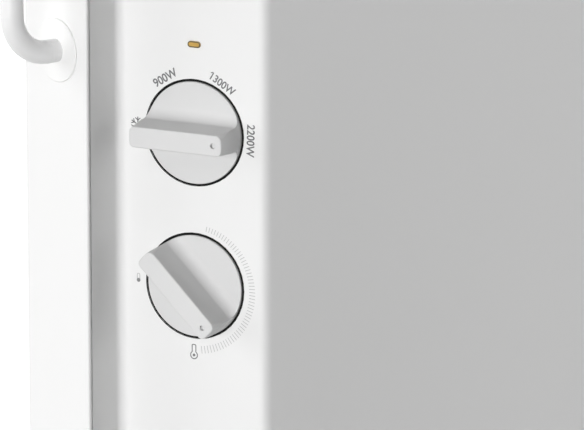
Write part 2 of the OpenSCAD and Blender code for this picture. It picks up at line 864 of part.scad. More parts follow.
module wiring_live() {
    in = way_at(1);
    lane = bay_x - 18;
    tab = bay_x - 3 - tab_out;
    post = gauge_out + thermo_base_t + bimetal_gap + bimetal_t - half_front;
    common = contact_at(1, -1);
    low = contact_at(-1, -1);
    high = contact_at(-1, 1);
    lamp = contact_at(1, 1);
    color([0.45, 0.3, 0.22]) {
        wire([
            in + [0, -terminal_y / 4, 0], in + [0, -terminal_y, 0], in + [-4, -24, 8],
            [lane, -24, z_low + 20], [lane, -20, z_cutout - 14],
            [lane, -8, z_cutout - 3], [lane + 3, -cutout_tab_y, z_cutout],
            [tab - 0.1, -cutout_tab_y, z_cutout]
        ]);
        for (side = [-1, 1])
            translate([tab + tab_out - 0.3, side * cutout_tab_y, z_cutout]) mirror([1, 0, 0]) sleeve(true);
        wire([
            [tab - 0.1, cutout_tab_y, z_cutout], [lane + 2, cutout_tab_y, z_cutout],
            [lane - 8, 4, z_cutout + 8], [post + 10, y_knob + 19, z_thermo - 12],
            [post + 5, y_knob + bimetal_x, z_thermo], [post + 1.5, y_knob + bimetal_x, z_thermo]
        ]);
        wire([
            [post + 1.1, y_knob - bimetal_x, z_thermo], [post + 9, y_knob - bimetal_x, z_thermo],
            [lane - 12, y_knob - 13, z_thermo + 8], [lane - 3, y_knob - 9, z_thermo + 30],
            common + [14, 0, -7], common + [13, 0, 0], common + [tab_out, 0, 0]
        ]);
        translate(common) sleeve(false);
        wire([
            low + [tab_out, 0, 0], low + [13, 0, 0], low + [13, 2, -12], [lane - 5, -12, z_high],
            [lane - 5, -12, z_low + 18], [duct_left - stud_mid, -12, z_low + 6],
            [duct_left - stud_mid, -12, z_low], [duct_left - stud_mid, -ring_d / 2 + 1, z_low]
        ]);
        translate(low) sleeve(false);
        translate([duct_left - stud_mid, 0, z_low]) ring();
        wire([
            high + [tab_out, 0, 0], high + [14, 0, 0], high + [14, 11, -8], [lane - 4, 12, z_power - 21],
            [lane - 4, 12, z_high + 12], [duct_left - stud_mid, 12, z_high + 5],
            [duct_left - stud_mid, 12, z_high], [duct_left - stud_mid, ring_d / 2 - 1, z_high]
        ]);
        translate(high) sleeve(false);
        translate([duct_left - stud_mid, 0, z_high]) ring();
        wire([
            lamp + [tab_out, 0, 0], lamp + [13, 0, 0], lamp + [12, -1, 12], lamp + [4, 2, 23],
            [x_lead + 6, y_knob - 3, z_lamp], [x_lead + 3, y_knob - lead_y, z_lamp],
            [x_lead + 0.2, y_knob - lead_y, z_lamp]
        ], lead_d);
        translate(lamp) sleeve(false);
    }
}

module wiring_neutral() {
    in = way_at(0);
    far = duct_right + stud_mid;
    lie = z_pan + wire_d / 2 + 0.3;
    color([0.3, 0.4, 0.6]) {
        wire([
            in + [0, -terminal_y / 4, 0], in + [0, -terminal_y - 2, 0], in + [-2, pass_y + 9, -6],
            [bay_x - 9, pass_y, z_pass + 12], [bay_x - 9, pass_y, z_pass + 2], [bay_x - 4, pass_y, z_pass],
            [duct_left + 3, pass_y, z_pass], [duct_left + 15, pass_y, lie],
            [duct_right - 15, pass_y, lie], [duct_right - 3, pass_y, z_pass],
            [duct_right + 9, pass_y, z_pass], [far, pass_y + 12, z_pass + 17],
            [far, -12, z_low - 20], [far, -12, z_high], [far, -ring_d / 2 + 1, z_high]
        ]);
        wire([[far, -12, z_low - 0.1], [far, -12, z_low], [far, -ring_d / 2 + 1, z_low]]);
        for (z = [z_low, z_high])
            translate([far, 0, z]) ring();
        wire([
            [x_lead + 0.2, y_knob + lead_y, z_lamp], [x_lead + 3, y_knob + lead_y, z_lamp],
            [x_lead + 7, y_knob + 4, z_lamp - 3],
            [x_contact + 4, -8, z_lamp - 14], [x_contact + 10, 16, z_power - 1],
            [x_contact + 10, 16, z_low], [in[0], terminal_y - 4, z_terminal + 5],
            [in[0], terminal_y - 6, z_terminal], [in[0], 1, z_terminal]
        ], lead_d);
    }
}

module wiring_earth() {
    in = way_at(-1);
    color([0.45, 0.6, 0.25]) {
        wire([
            in + [0, -terminal_y / 4, 0], in + [0, -terminal_y + 2, 0],
            [in[0], earth_y + 2, z_earth + 11], [bay_x - wire_d / 2 - 0.1, earth_y, z_earth + 8],
            [bay_x - wire_d / 2 - 0.1, earth_y, z_earth + ring_d / 2 + 0.1]
        ]);
        translate([bay_x - wire_d / 2 - 1, earth_y, z_earth]) rotate([0, 90, 0])
            difference() {
                cylinder(d = ring_d + 1, h = wire_d / 2 + 1);
                translate([0, 0, -spill])
                    cylinder(d = earth_screw_d + 2 * screw_grip, h = wire_d + 2 * spill);
            }
    }
}

module earth_screw() {
    under = wire_d / 2 + 1;
    color(brass)
    translate([bay_x, earth_y, z_earth]) rotate([0, -90, 0])
        difference() {
            union() {
                translate([0, 0, under]) cylinder(d = earth_screw_d * 1.9, h = earth_screw_d * 0.6);
                translate([0, 0, -bracket_t - 3])
                    cylinder(d = earth_screw_d, h = bracket_t + 3 + under + spill);
            }
            translate([-0.5, -earth_screw_d, under + earth_screw_d * 0.6 - 1])
                cube([1, 2 * earth_screw_d, 1 + spill]);
        }
}

module wire_grommets() {
    color(dark)
    for (x = [duct_left - bracket_t / 2, duct_right + bracket_t / 2])
        translate([x, pass_y, z_pass]) rotate([0, 90, 0])
            rotate_extrude()
                difference() {
                    translate([wire_d / 2 + 0.1, -bracket_t / 2 - grommet_lip])
                        square([pass_d / 2 + 1.5 - wire_d / 2, bracket_t + 2 * grommet_lip]);
                    translate([pass_d / 2, -bracket_t / 2]) square([2 + spill, bracket_t]);
                }
}

module cord_gland() {
    color(dark)
    translate([gland_x, y_in_rear, z_gland]) rotate([-90, 0, 0])
        difference() {
            union() {
                translate([0, 0, -gland_nut_t]) cylinder(d = gland_flange_d - 1, h = gland_nut_t);
                cylinder(d = gland_neck_d, h = skin);
                translate([0, 0, skin]) cylinder(d = gland_flange_d, h = gland_flange_t);
                translate([0, 0, skin + gland_flange_t - spill])
                    cylinder(d1 = gland_neck_d + 1, d2 = gland_bore_d + 4, h = gland_sleeve + spill);
            }
            translate([0, 0, -gland_nut_t - spill])
                cylinder(d = gland_bore_d, h = gland_nut_t + skin + gland_sleeve + 2 * gland_flange_t);
        }
}

module control_plate() {
    low = z_thermo - selector_size;
    high = z_lamp + 14;
    color(steel)
    on_panel()
        difference() {
            union() {
                translate([-chassis_width / 2, low, -gauge_out])
                    cube([chassis_width, high - low, chassis_t]);
                for (y = [low, high - chassis_t])
                    translate([-chassis_width / 2, y, -gauge_out])
                        cube([chassis_width, chassis_t, gauge_out - skin]);
                translate([-chassis_width / 2, low - chassis_foot, -skin - chassis_t])
                    cube([chassis_width, chassis_foot + chassis_t, chassis_t]);
                translate([-chassis_width / 2, high - chassis_t, -skin - chassis_t])
                    cube([chassis_width, chassis_foot + chassis_t, chassis_t]);
            }
            for (y = [z_power, z_thermo])
                translate([0, y, -gauge_out - spill])
                    cylinder(d = bushing_d + 2 * screw_pass, h = chassis_t + 2 * spill);
            translate([0, z_lamp, -gauge_out - spill])
                cylinder(d = neon_d + 3 + 2 * screw_grip, h = chassis_t + 2 * spill);
            control_screw_places()
                translate([0, 0, -chassis_t - spill])
                    cylinder(d = ctrl_screw_d + 2 * screw_pass, h = chassis_t + 2 * spill);
        }
}

// Screw axes in the panel frame, z = 0 on the control plate's outer face.
module control_screw_places() {
    for (side = [-1, 1]) {
        translate([side * selector_screw, z_power + side * selector_screw, -chassis_depth]) children();
        translate([side * thermo_screw, z_thermo, -chassis_depth]) children();
    }
}

module control_screws() {
    color(steel)
    on_panel() control_screw_places() {
        cylinder(d = ctrl_head_d, h = ctrl_head_h);
        translate([0, 0, -ctrl_screw_l]) cylinder(d = ctrl_screw_d, h = ctrl_screw_l);
    }
}

module control_screw_cores() {
    control_screw_places()
        translate([0, 0, -ctrl_screw_l - 1])
            cylinder(d = ctrl_screw_d + 2 * screw_grip, h = ctrl_screw_l + 1);
}

module selector_housing() {
    front = 4;
    color(dark)
    on_panel()
        difference() {
            union() {
                translate([-selector_size / 2, z_power - selector_size / 2, -gauge_out - selector_depth])
                    cube([selector_size, selector_size, selector_depth]);
                translate([0, z_power, -gauge_out]) cylinder(d = bushing_d, h = chassis_t + 3);
            }
            translate([0, z_power, -gauge_out - selector_depth - spill])
                cylinder(d = selector_size - 2 * selector_wall, h = selector_depth - front + spill);
            translate([0, z_power, -gauge_out - front - spill])
                cylinder(d = shaft_d + 2 * shaft_clear, h = front + chassis_t + 3 + 2 * spill);
            control_screw_cores();
        }
}

module contact_places() {
    for (x = [-1, 1], y = [-1, 1])
        translate([x * contact_x, z_power + y * contact_y, -gauge_out - selector_depth - selector_lid_t])
            children();
}

module selector_lid() {
    color(ceramic)
    on_panel()
        difference() {
            translate([
                -selector_size / 2,
                z_power - selector_size / 2,
                -gauge_out - selector_depth - selector_lid_t
            ])
                cube([selector_size, selector_size, selector_lid_t]);
            translate([0, z_power, -gauge_out - selector_depth - selector_lid_t - spill])
                cylinder(d = shaft_d - 2 + 2 * shaft_clear, h = selector_lid_t + 2 * spill);
            contact_places()
                translate([-tab_width / 2 - screw_grip, -tab_t / 2 - screw_grip, -spill])
                    cube([
                        tab_width + 2 * screw_grip, tab_t + 2 * screw_grip, selector_lid_t + 2 * spill
                    ]);
        }
}

module selector_contacts() {
    color(brass)
    on_panel() contact_places()
        translate([-tab_width / 2, -tab_t / 2, -tab_out])
            cube([tab_width, tab_t, tab_out + selector_lid_t + 2.6]);
}

module thermostat_base() {
    color(ceramic)
    on_panel()
        difference() {
            union() {
                translate([
                    -thermo_length / 2,
                    z_thermo - thermo_height / 2,
                    -gauge_out - thermo_base_t
                ])
                    cube([thermo_length, thermo_height, thermo_base_t]);
                translate([0, z_thermo, -gauge_out]) cylinder(d = bushing_d, h = chassis_t + 3);
            }
            translate([0, z_thermo, -gauge_out - thermo_base_t - spill])
                cylinder(d = shaft_d + 2 * shaft_clear, h = thermo_base_t + chassis_t + 3 + 2 * spill);
            control_screw_cores();
        }
}

module thermostat_bimetal() {
    post = -gauge_out - thermo_base_t - bimetal_gap - bimetal_t;
    color(brass)
    on_panel() translate([0, z_thermo, 0]) {
        translate([-bimetal_l / 2, -5, post]) cube([bimetal_l, 10, bimetal_t]);
        translate([-bimetal_x, 0, post - 1.4])
            cylinder(d = 6, h = bimetal_gap + bimetal_t + 1.4);
        translate([bimetal_x, 0, post - 1]) cylinder(d = 4, h = bimetal_t + 2);
    }
}

module lamp_lens() {
    color([0.85, 0.6, 0.2])
    on_panel() translate([0, z_lamp, 0]) {
        translate([0, 0, -skin - 0.5]) linear_extrude(skin + 0.5 + lens_proud) pill(lens_length, lens_width);
        translate([0, 0, -skin - 1]) linear_extrude(1) pill(lens_length + 2.6, lens_width + 2.6);
        translate([0, 0, -skin - 5]) linear_extrude(4.5) pill(lens_length - 1, lens_width - 0.6);
    }
}

module lamp_holder() {
    front = chassis_depth - skin - 5.4;
    color(ceramic)
    on_panel() translate([0, z_lamp, 0])
        difference() {
            union() {
                translate([0, 0, -gauge_out - 8]) cylinder(d = neon_d + 3, h = chassis_t + 8 + front);
                translate([0, 0, -chassis_depth]) cylinder(d = neon_d + 6, h = 1.4);
            }
            translate([0, 0, -gauge_out - 8 - spill])
                cylinder(d = neon_d + 0.2, h = chassis_t + 8 + front + 2 * spill);
        }
}

module neon_lamp() {
    long = 13;
    color([0.9, 0.5, 0.3, 0.8])
    on_panel() translate([0, z_lamp, -gauge_out - lamp_set]) {
        cylinder(d = neon_d, h = long - neon_d / 2);
        translate([0, 0, long - neon_d / 2]) sphere(d = neon_d);
        for (x = [-lead_y, lead_y])
            translate([x, 0, -8]) cylinder(d = 0.8, h = 9);
    }
}

// Elbow in the XZ plane, from the +x side round to the +z side.
module elbow(centre_r, tube_r) {
    rotate([90, 0, 0]) rotate_extrude(angle = 90) translate([centre_r, 0]) circle(r = tube_r);
}

module weld(tube_r) {
    cylinder(r = tube_r + bead, h = bead_l, center = true);
}

// Half of the rail's run, for the +X end.
module rail_run(tube_r) {
    translate([leg_x - rail_corner, leg_y, z_rail]) rotate([0, 90, 0]) weld(tube_r);
    translate([leg_x, leg_y, z_rail - rail_corner]) weld(tube_r);
    translate([leg_x, leg_y, z_plate + rail_bend]) weld(tube_r);
    translate([0, leg_y, z_rail]) rotate([0, 90, 0]) cylinder(r = tube_r, h = leg_x - rail_corner);
    translate([leg_x - rail_corner, leg_y, z_rail - rail_corner]) elbow(rail_corner, tube_r);
    translate([leg_x, leg_y, z_plate + rail_bend])
        cylinder(r = tube_r, h = z_rail - rail_corner - z_plate - rail_bend);
    translate([leg_x, leg_y, z_plate]) rotate([0, 0, flank_angle])
        translate([-rail_bend, 0, rail_bend]) rotate([0, 90, 0]) elbow(rail_bend, tube_r);
}

module rail() {
    tail = skin + nut_t + 2;
    straight = rail_standoff - rail_bend - plate_t;
    color(steel)
    difference() {
        both_ends() {
            rail_run(rail_d / 2);
            on_flank() {
                translate([0, 0, plate_t]) cylinder(d = rail_d, h = straight);
                translate([0, 0, plate_t + straight]) weld(rail_d / 2);
                translate([0, 0, -tail]) cylinder(d = stud_d, h = tail + plate_t + 1);
            }
        }
        both_ends() {
            rail_run(rail_d / 2 - rail_wall);
            on_flank() translate([0, 0, -tail - spill])
                cylinder(d = stud_d / 2, h = tail + plate_t + straight + 2 * spill);
        }
    }
}

module rail_plate() {
    on_flank()
        difference() {
            union() {
                cylinder(d = plate_d, h = plate_t - plate_bevel);
                translate([0, 0, plate_t - plate_bevel])
                    cylinder(d1 = plate_d, d2 = plate_d - 2 * plate_bevel, h = plate_bevel);
            }
            translate([0, 0, -spill]) cylinder(d = stud_d + 2 * stud_clear, h = plate_t + 2 * spill);
        }
}

module rail_plate_left() {
    color(white) mirror([1, 0, 0]) rail_plate();
}

module rail_plate_right() {
    color(white) rail_plate();
}

module rail_nuts() {
    color(steel)
    both_ends() on_flank()
        translate([0, 0, -skin - nut_t])
            difference() {
                cylinder(d = nut_d, h = nut_t, $fn = 6);
                translate([0, 0, -spill]) cylinder(d = stud_d + 2 * screw_grip, h = nut_t + 2 * spill);
            }
}

// Side view of a foot: a level seat that sweeps down to both toes over an arch.
module foot_outline() {
    difference() {
        translate([-foot_length / 2, pad_t]) square([foot_length, z_base - pad_t]);
        both_ends() {
            translate([foot_length / 2 - toe_level, toe_height + toe_sweep]) circle(r = toe_sweep);
            translate([foot_length / 2 - toe_level, toe_height])
                square([toe_level + spill, toe_drop + spill]);
            rounding([foot_length / 2, toe_height], 180, 270, toe_round);
        }
        translate([0, pad_t + arch_rise - arch_r]) circle(r = arch_r);
    }
}

module foot_hollow() {
    difference() {
        translate([-toe_inner, 0]) square([2 * toe_inner, z_base - foot_wall]);
        both_ends()
            translate([foot_length / 2 - toe_level, toe_height + toe_sweep])
                circle(r = toe_sweep + foot_wall);
    }
}

module foot() {
    difference() {
        intersection() {
            translate([-foot_width / 2, 0, 0]) rotate([90, 0, 90])
                linear_extrude(foot_width) foot_outline();
            rotate([0, 0, 90]) linear_extrude(z_base + spill) pill(foot_length, foot_width);
        }
        difference() {
            translate([foot_wall - foot_width / 2, 0, 0]) rotate([90, 0, 90])
                linear_extrude(foot_width - 2 * foot_wall) foot_hollow();
            for (y = [-foot_screw_y, foot_screw_y])
                translate([0, y, z_base - foot_boss_h]) cylinder(d = foot_head_d + 3, h = foot_boss_h);
            translate([-foot_rib_t / 2, -foot_length / 2, z_base - foot_boss_h])
                cube([foot_rib_t, foot_length, z_base]);
        }
        for (y = [-foot_screw_y, foot_screw_y])
            translate([0, y, -spill]) {
                cylinder(d = foot_screw_d + 2 * screw_pass, h = z_base + 2 * spill);
                cylinder(d = foot_head_d + 1, h = z_base - foot_boss_h + spill);
            }
        for (y = [-pad_y, pad_y])
            translate([0, y, pad_t - spill])
                cylinder(d = pad_stem_d + 2 * screw_grip, h = pad_stem + spill + 0.3);
    }
}

module foot_left() {
    color(dark) translate([-foot_x, 0, 0]) foot();
}

module foot_right() {
    color(dark) translate([foot_x, 0, 0]) foot();
}

module foot_pads() {
    color([0.12, 0.12, 0.12])
    for (x = [-foot_x, foot_x], y = [-pad_y, pad_y])
        translate([x, y, 0]) {
            cylinder(d1 = pad_d - 2, d2 = pad_d, h = 1);
            translate([0, 0, 1]) cylinder(d = pad_d, h = pad_t - 1);
            cylinder(d = pad_stem_d, h = pad_t + pad_stem);
        }
}

module foot_screws() {
    color(steel)
    for (x = [-foot_x, foot_x], y = [-foot_screw_y, foot_screw_y])
        translate([x, y, z_base - foot_boss_h]) {
            translate([0, 0, -foot_head_h]) cylinder(d = foot_head_d, h = foot_head_h);
            cylinder(d = foot_screw_d, h = foot_boss_h + pan_t + 3);
        }
}

module casing_screws() {
    color(steel)
    case_screw_places() {
        cylinder(d1 = case_head_d, d2 = case_head_d * 0.7, h = case_head_h);
        translate([0, 0, -case_screw_l]) cylinder(d = case_screw_d, h = case_screw_l);
    }
}

// Wing section across the knob, y outward.
module wing_section() {
    half = wing_width / 2;
    foot = half + wing_draft;
    difference() {
        union() {
            polygon([
                [-sweep_half, knob_face - 1], [sweep_half, knob_face - 1],
                [sweep_half, wing_shoulder], [foot, wing_shoulder],
                [half, wing_height - wing_round], [half - wing_round, wing_height],
                [wing_round - half, wing_height], [-half, wing_height - wing_round],
                [-foot, wing_shoulder], [-sweep_half, wing_shoulder]
            ]);
            for (side = [-1, 1])
                translate([side * (half - wing_round), wing_height - wing_round])
                    circle(r = wing_round);
        }
        for (side = [-1, 1])
            translate([side * sweep_half, wing_shoulder]) circle(r = wing_sweep);
    }
}

// Waste at the end of the wing: a round corner at the top that runs out at the shoulder.
module wing_corner_cut() {
    half = wing_width / 2;
    over = wing_height - wing_shoulder;
    translate([half, sqrt(wing_reach * wing_reach - half * half), wing_height])
        rotate(a = atan((wing_draft + wing_corner) / 2 / over), v = [1, -1, 0])
            translate([0, 0, -over])
                linear_extrude(over + spill)
                    rounding([0, 0], 180 - asin(half / wing_reach), 270, wing_corner);
}

// Knob with its axis on z and its pointer toward +y.
module knob() {
    r = knob_d / 2;
    core = knob_face - knob_wall;
    difference() {
        union() {
            rotate_extrude()
                difference() {
                    translate([0, -knob_depth]) square([r, knob_depth + knob_face]);
                    rounding([r, knob_face], 180, 270, knob_edge);
                }
            intersection() {
                rotate([90, 0, 0]) translate([0, 0, -r]) linear_extrude(2 * r) wing_section();
                rotate_extrude() {
                    polygon([
                        [0, knob_face - 1], [r, knob_face - 1], [r, knob_face],
                        [wing_reach, wing_height - wing_round],
                        [wing_reach - wing_round, wing_height], [0, wing_height]
                    ]);
                    translate([wing_reach - wing_round, wing_height - wing_round])
                        circle(r = wing_round);
                }
            }
        }
        difference() {
            translate([0, 0, -knob_depth - spill])
                cylinder(r = r - knob_wall, h = knob_depth + core + spill);
            translate([0, 0, -knob_depth]) cylinder(d = hub_d, h = knob_depth + core + spill);
        }
        intersection() {
            translate([0, 0, -knob_depth - spill])
                cylinder(d = shaft_d + 2 * shaft_clear, h = knob_depth + knob_grip + spill);
            translate([-shaft_d, -flat_y - shaft_clear, -knob_depth - 2 * spill])
                cube([2 * shaft_d, 2 * shaft_d, knob_depth + knob_grip + 4 * spill]);
        }
        translate([0, dimple_radius, wing_height - dimple_depth])
            cylinder(d = dimple_d, h = dimple_depth + spill);
        for (turn = [0, 180])
            rotate([0, 0, turn]) both_ends() wing_corner_cut();
    }
}

// Shaft end with its flat, up to the end of the knob's bore.
module shaft_end(back) {
    tip = knob_grip - 0.1;
    difference() {
        translate([0, 0, back]) cylinder(d = shaft_d, h = tip - back);
        translate([-shaft_d, -shaft_d - flat_y, -knob_depth - 1])
            cube([2 * shaft_d, shaft_d, knob_depth + tip + 1 + spill]);
    }
}

module power_knob() {
    color(white) on_panel() translate([0, z_power, 0]) rotate([0, 0, -power_turn]) knob();
}

module thermostat_knob() {
    color(white) on_panel() translate([0, z_thermo, 0]) rotate([0, 0, -thermo_turn]) knob();
}

module power_shaft() {
    cavity_front = -gauge_out - 4;
    rotor_front = cavity_front - 5;
    color(steel)
    on_panel() translate([0, z_power, 0]) rotate([0, 0, -power_turn]) {
        shaft_end(rotor_front - 1);
        translate([0, 0, rotor_front - rotor_t])
            difference() {
                cylinder(d = rotor_d, h = rotor_t);
                for (i = [0 : 2])
                    rotate([0, 0, 60 * i])
                        translate([rotor_d / 2, 0, -spill]) cylinder(d = 4, h = rotor_t + 2 * spill);
            }
        translate([0, 0, rotor_front - spill]) cylinder(d = shaft_d + 5, h = 5 - 0.1 + spill);
        translate([0, 0, -gauge_out - selector_depth - selector_lid_t + 0.4])
            cylinder(d = shaft_d - 2, h = selector_depth + selector_lid_t - 10);
    }
}

module thermostat_shaft() {
    back = -gauge_out - thermo_base_t - bimetal_gap + 0.3;
    color(steel)
    on_panel() translate([0, z_thermo, 0]) rotate([0, 0, -thermo_turn]) {
        shaft_end(back);
        translate([0, 0, -gauge_out - thermo_base_t - 1.6]) cylinder(d = shaft_d + 3, h = 1.5);
    }
}

front_shell();
rear_cover();
top_grille();
base_pan();
partition_left();
partition_right();
front_shield();
rear_shield();
fins_900w();
fins_1300w();
rod_900w();
rod_1300w();
rod_bushes();
thermal_cutout();
terminal_block();
terminal_screws();
cord_gland();
wiring_live();
wiring_neutral();
wiring_earth();
earth_screw();
wire_grommets();
control_plate();
control_screws();
selector_housing();
selector_lid();
selector_contacts();
thermostat_base();
thermostat_bimetal();
lamp_lens();
lamp_holder();
neon_lamp();
rail();
rail_plate_left();
rail_plate_right();
rail_nuts();
foot_left();
foot_right();
foot_pads();
foot_screws();
casing_screws();
power_knob();
power_shaft();
thermostat_knob();
thermostat_shaft();
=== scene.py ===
import json
import math

import bmesh
import bpy
from mathutils import Matrix, Vector


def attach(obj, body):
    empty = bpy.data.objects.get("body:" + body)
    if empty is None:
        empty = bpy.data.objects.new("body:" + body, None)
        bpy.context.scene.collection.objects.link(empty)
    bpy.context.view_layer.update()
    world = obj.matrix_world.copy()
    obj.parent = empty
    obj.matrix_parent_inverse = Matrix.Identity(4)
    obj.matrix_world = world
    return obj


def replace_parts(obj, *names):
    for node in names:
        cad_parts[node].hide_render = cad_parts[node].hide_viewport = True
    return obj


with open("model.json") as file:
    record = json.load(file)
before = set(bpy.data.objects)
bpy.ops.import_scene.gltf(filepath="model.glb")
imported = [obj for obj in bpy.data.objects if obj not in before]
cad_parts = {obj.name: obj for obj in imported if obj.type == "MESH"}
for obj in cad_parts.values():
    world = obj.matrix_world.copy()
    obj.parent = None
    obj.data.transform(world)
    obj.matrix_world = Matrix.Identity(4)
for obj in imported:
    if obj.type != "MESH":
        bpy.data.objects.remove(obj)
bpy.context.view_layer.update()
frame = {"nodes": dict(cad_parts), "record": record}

record = frame["record"]
slot_of = {part["node"]: part["material_slot"] for part in record["subparts"]}
joint_at = {joint["name"]: Vector(joint["pos_m"]) for joint in record["behaviour"]["joints"]}

# Each knob's joint lies where its axis meets the panel's face
POWER = joint_at["power_turn"]
THERMO = joint_at["thermostat_turn"]
MM = 0.001

# Sizes in mm that part.scad has too
KNOB_R = 22.0
KNOB_GAP = 1.1
HOLE_R = KNOB_R + KNOB_GAP
LENS_LONG = 6.0
LENS_WIDE = 2.7
LENS_PROUD = 0.5
LAMP_RISE = 38.0


# Materials. Lengths in them are in metres
SLOW_DETAIL = 5.0
FINE_DETAIL = 3.0
ROUGH_DRIFT = 0.06
LEAST_ROUGH = 0.02
TONE_STOPS = (0.3, 0.7)
GRAIN_HIGH = 0.0001


def node_tree(name):
    """A material with one principled shader."""
    mat = bpy.data.materials.new(name)
    mat.use_nodes = True
    tree = mat.node_tree
    tree.nodes.clear()
    out = tree.nodes.new("ShaderNodeOutputMaterial")
    bsdf = tree.nodes.new("ShaderNodeBsdfPrincipled")
    tree.links.new(bsdf.outputs["BSDF"], out.inputs["Surface"])
    return mat, tree, bsdf


def add_node(tree, kind, **values):
    """A shader node with some inputs set. An underscore in an input's name stands for a space."""
    node = tree.nodes.new("ShaderNode" + kind)
    for socket, value in values.items():
        node.inputs[socket.replace("_", " ")].default_value = value
    return node


def surface(name, colour, rough, metallic=0.0, grain=2500.0, bump=0.05, tone=0.03, patch=9.0,
            edge=0.0004, stretch=(1, 1, 1), specular=0.5):
    """Base colour with slow tone drift, roughness drift, fine grain and softened edges."""
    mat, tree, bsdf = node_tree(name)
    link = tree.links.new
    coord = add_node(tree, "TexCoord")
    mapping = add_node(tree, "Mapping", Scale=stretch)
    link(coord.outputs["Object"], mapping.inputs["Vector"])

    slow = add_node(tree, "TexNoise", Scale=patch, Detail=SLOW_DETAIL)
    link(mapping.outputs["Vector"], slow.inputs["Vector"])
    ramp = add_node(tree, "ValToRGB")
    for stop, place, shift in zip(ramp.color_ramp.elements, TONE_STOPS, (-tone, tone)):
        stop.position = place
        stop.color = tuple(min(1.0, c * (1 + shift)) for c in colour) + (1,)
    link(slow.outputs["Fac"], ramp.inputs["Fac"])
    link(ramp.outputs["Color"], bsdf.inputs["Base Color"])
    span = add_node(tree, "MapRange")
    span.inputs["To Min"].default_value = max(LEAST_ROUGH, rough - ROUGH_DRIFT)
    span.inputs["To Max"].default_value = min(1.0, rough + ROUGH_DRIFT)
    link(slow.outputs["Fac"], span.inputs["Value"])
    link(span.outputs["Result"], bsdf.inputs["Roughness"])

    fine = add_node(tree, "TexNoise", Scale=grain, Detail=FINE_DETAIL)
    link(mapping.outputs["Vector"], fine.inputs["Vector"])
    lift = add_node(tree, "Bump", Strength=bump, Distance=GRAIN_HIGH)
    link(fine.outputs["Fac"], lift.inputs["Height"])
    if edge > 0:
        bevel = add_node(tree, "Bevel", Radius=edge)
        bevel.samples = 4
        link(bevel.outputs["Normal"], lift.inputs["Normal"])
    link(lift.outputs["Normal"], bsdf.inputs["Normal"])
    bsdf.inputs["Metallic"].default_value = metallic
    bsdf.inputs["Specular IOR Level"].default_value = specular
    return mat


MATS = {}


def grey(value):
    return (value, value, value)


def dull(name, colour, rough, **look):
    """The material of a slot that isn't metal."""
    MATS[name] = surface(name, colour, rough, **look)


def metal(name, colour, rough, **look):
    """The material of a metal slot."""
    MATS[name] = surface(name, colour, rough, metallic=1.0, **look)


def glassy(name, colour, rough, transmission):
    """The material of a slot that light passes."""
    mat = surface(name, colour, rough, grain=900, bump=0.02, tone=0.08, patch=300, edge=0.0002)
    bsdf = next(n for n in mat.node_tree.nodes if n.type == "BSDF_PRINCIPLED")
    bsdf.inputs["Transmission Weight"].default_value = transmission
    MATS[name] = mat


# Paint and plastics that show
dull("casing_paint", (0.84, 0.84, 0.838), 0.55, grain=1400, bump=0.06, tone=0.006, patch=5, specular=0.25)
dull("rail_paint", grey(0.83), 0.4, grain=1600, bump=0.05, tone=0.01, patch=9)
dull("plate_plastic", (0.84, 0.84, 0.835), 0.45, grain=1800, bump=0.08, tone=0.008, patch=20)
dull("grille_plastic", (0.8, 0.8, 0.795), 0.5, grain=1800, bump=0.12, tone=0.01, patch=12)
dull("knob_plastic", grey(0.69), 0.55, grain=1800, bump=0.08, tone=0.008, patch=30, edge=0.0005, specular=0.2)
dull("foot_plastic", (0.36, 0.365, 0.37), 0.52, grain=1300, bump=0.2, tone=0.03, patch=30)
dull("pad_rubber", grey(0.03), 0.8, grain=900, bump=0.3, tone=0.2, patch=80)

# Insulation inside
dull("white_ceramic", (0.82, 0.8, 0.74), 0.6, grain=900, bump=0.2, tone=0.04, patch=90)
dull("dark_moulding", (0.035, 0.035, 0.038), 0.45, grain=1500, bump=0.15, tone=0.15, patch=50)
dull("light_moulding", (0.68, 0.67, 0.63), 0.5, grain=1500, bump=0.12, tone=0.03, patch=50)
for wire, colour in (("wire_brown", (0.16, 0.07, 0.035)), ("wire_blue", (0.05, 0.13, 0.34)),
                     ("wire_green", (0.16, 0.3, 0.05))):
    dull(wire, colour, 0.5, grain=900, bump=0.15, tone=0.1, patch=120, edge=0)

# Metals
metal("zinc_steel", (0.6, 0.62, 0.64), 0.38, grain=500, bump=0.08, tone=0.12, patch=60)
metal("shield_sheet", (0.78, 0.79, 0.8), 0.3, grain=900, bump=0.1, tone=0.04, stretch=(1, 1, 20))
metal("fin_alloy", (0.68, 0.69, 0.71), 0.42, grain=700, bump=0.15, tone=0.06, stretch=(0.05, 1, 1))
metal("rod_steel", (0.4, 0.36, 0.33), 0.4, grain=900, bump=0.1, tone=0.2, patch=25)
metal("contact_brass", (0.78, 0.58, 0.27), 0.32, grain=800, bump=0.1, tone=0.08, patch=120)
metal("screw_steel", (0.62, 0.63, 0.65), 0.28, grain=900, bump=0.08, tone=0.08, patch=200)
metal("shaft_steel", (0.66, 0.67, 0.69), 0.25, grain=900, bump=0.08, tone=0.05, patch=90)

# Lens and lamp
glassy("amber_lens", (0.68, 0.41, 0.08), 0.18, transmission=0.2)
glassy("lamp_glass", (0.95, 0.6, 0.35), 0.08, transmission=0.8)


def ink(name, colour, tone):
    return surface(name, colour, 0.6, grain=3000, bump=0.1, tone=tone, patch=700, edge=0)


# Inks, and the dark of painted shade, which no slot has
INK = ink("legend_ink", (0.14, 0.14, 0.145), tone=0.12)
PALE_INK = ink("scale_ink", grey(0.5), tone=0.06)
MID_INK = ink("bulb_ink", grey(0.22), tone=0.06)
# Painted shade: the dark line round the rim of the lens's face
LENS_EDGE_SHADE = surface("lens_edge_painted_shade", (0.085, 0.06, 0.015), 0.4, grain=1500, bump=0.1, tone=0.1, patch=300,
                    edge=0)
# Painted shade: the dark in and round the gaps of the knobs
GAP_SHADE_DARK = surface("painted_gap_shade", grey(0.012), 0.8, grain=1500, bump=0.2, tone=0.2, patch=300, edge=0,
                    specular=0.1)

for name, obj in frame["nodes"].items():
    for holder in obj.material_slots:
        holder.material = MATS[slot_of[name]]


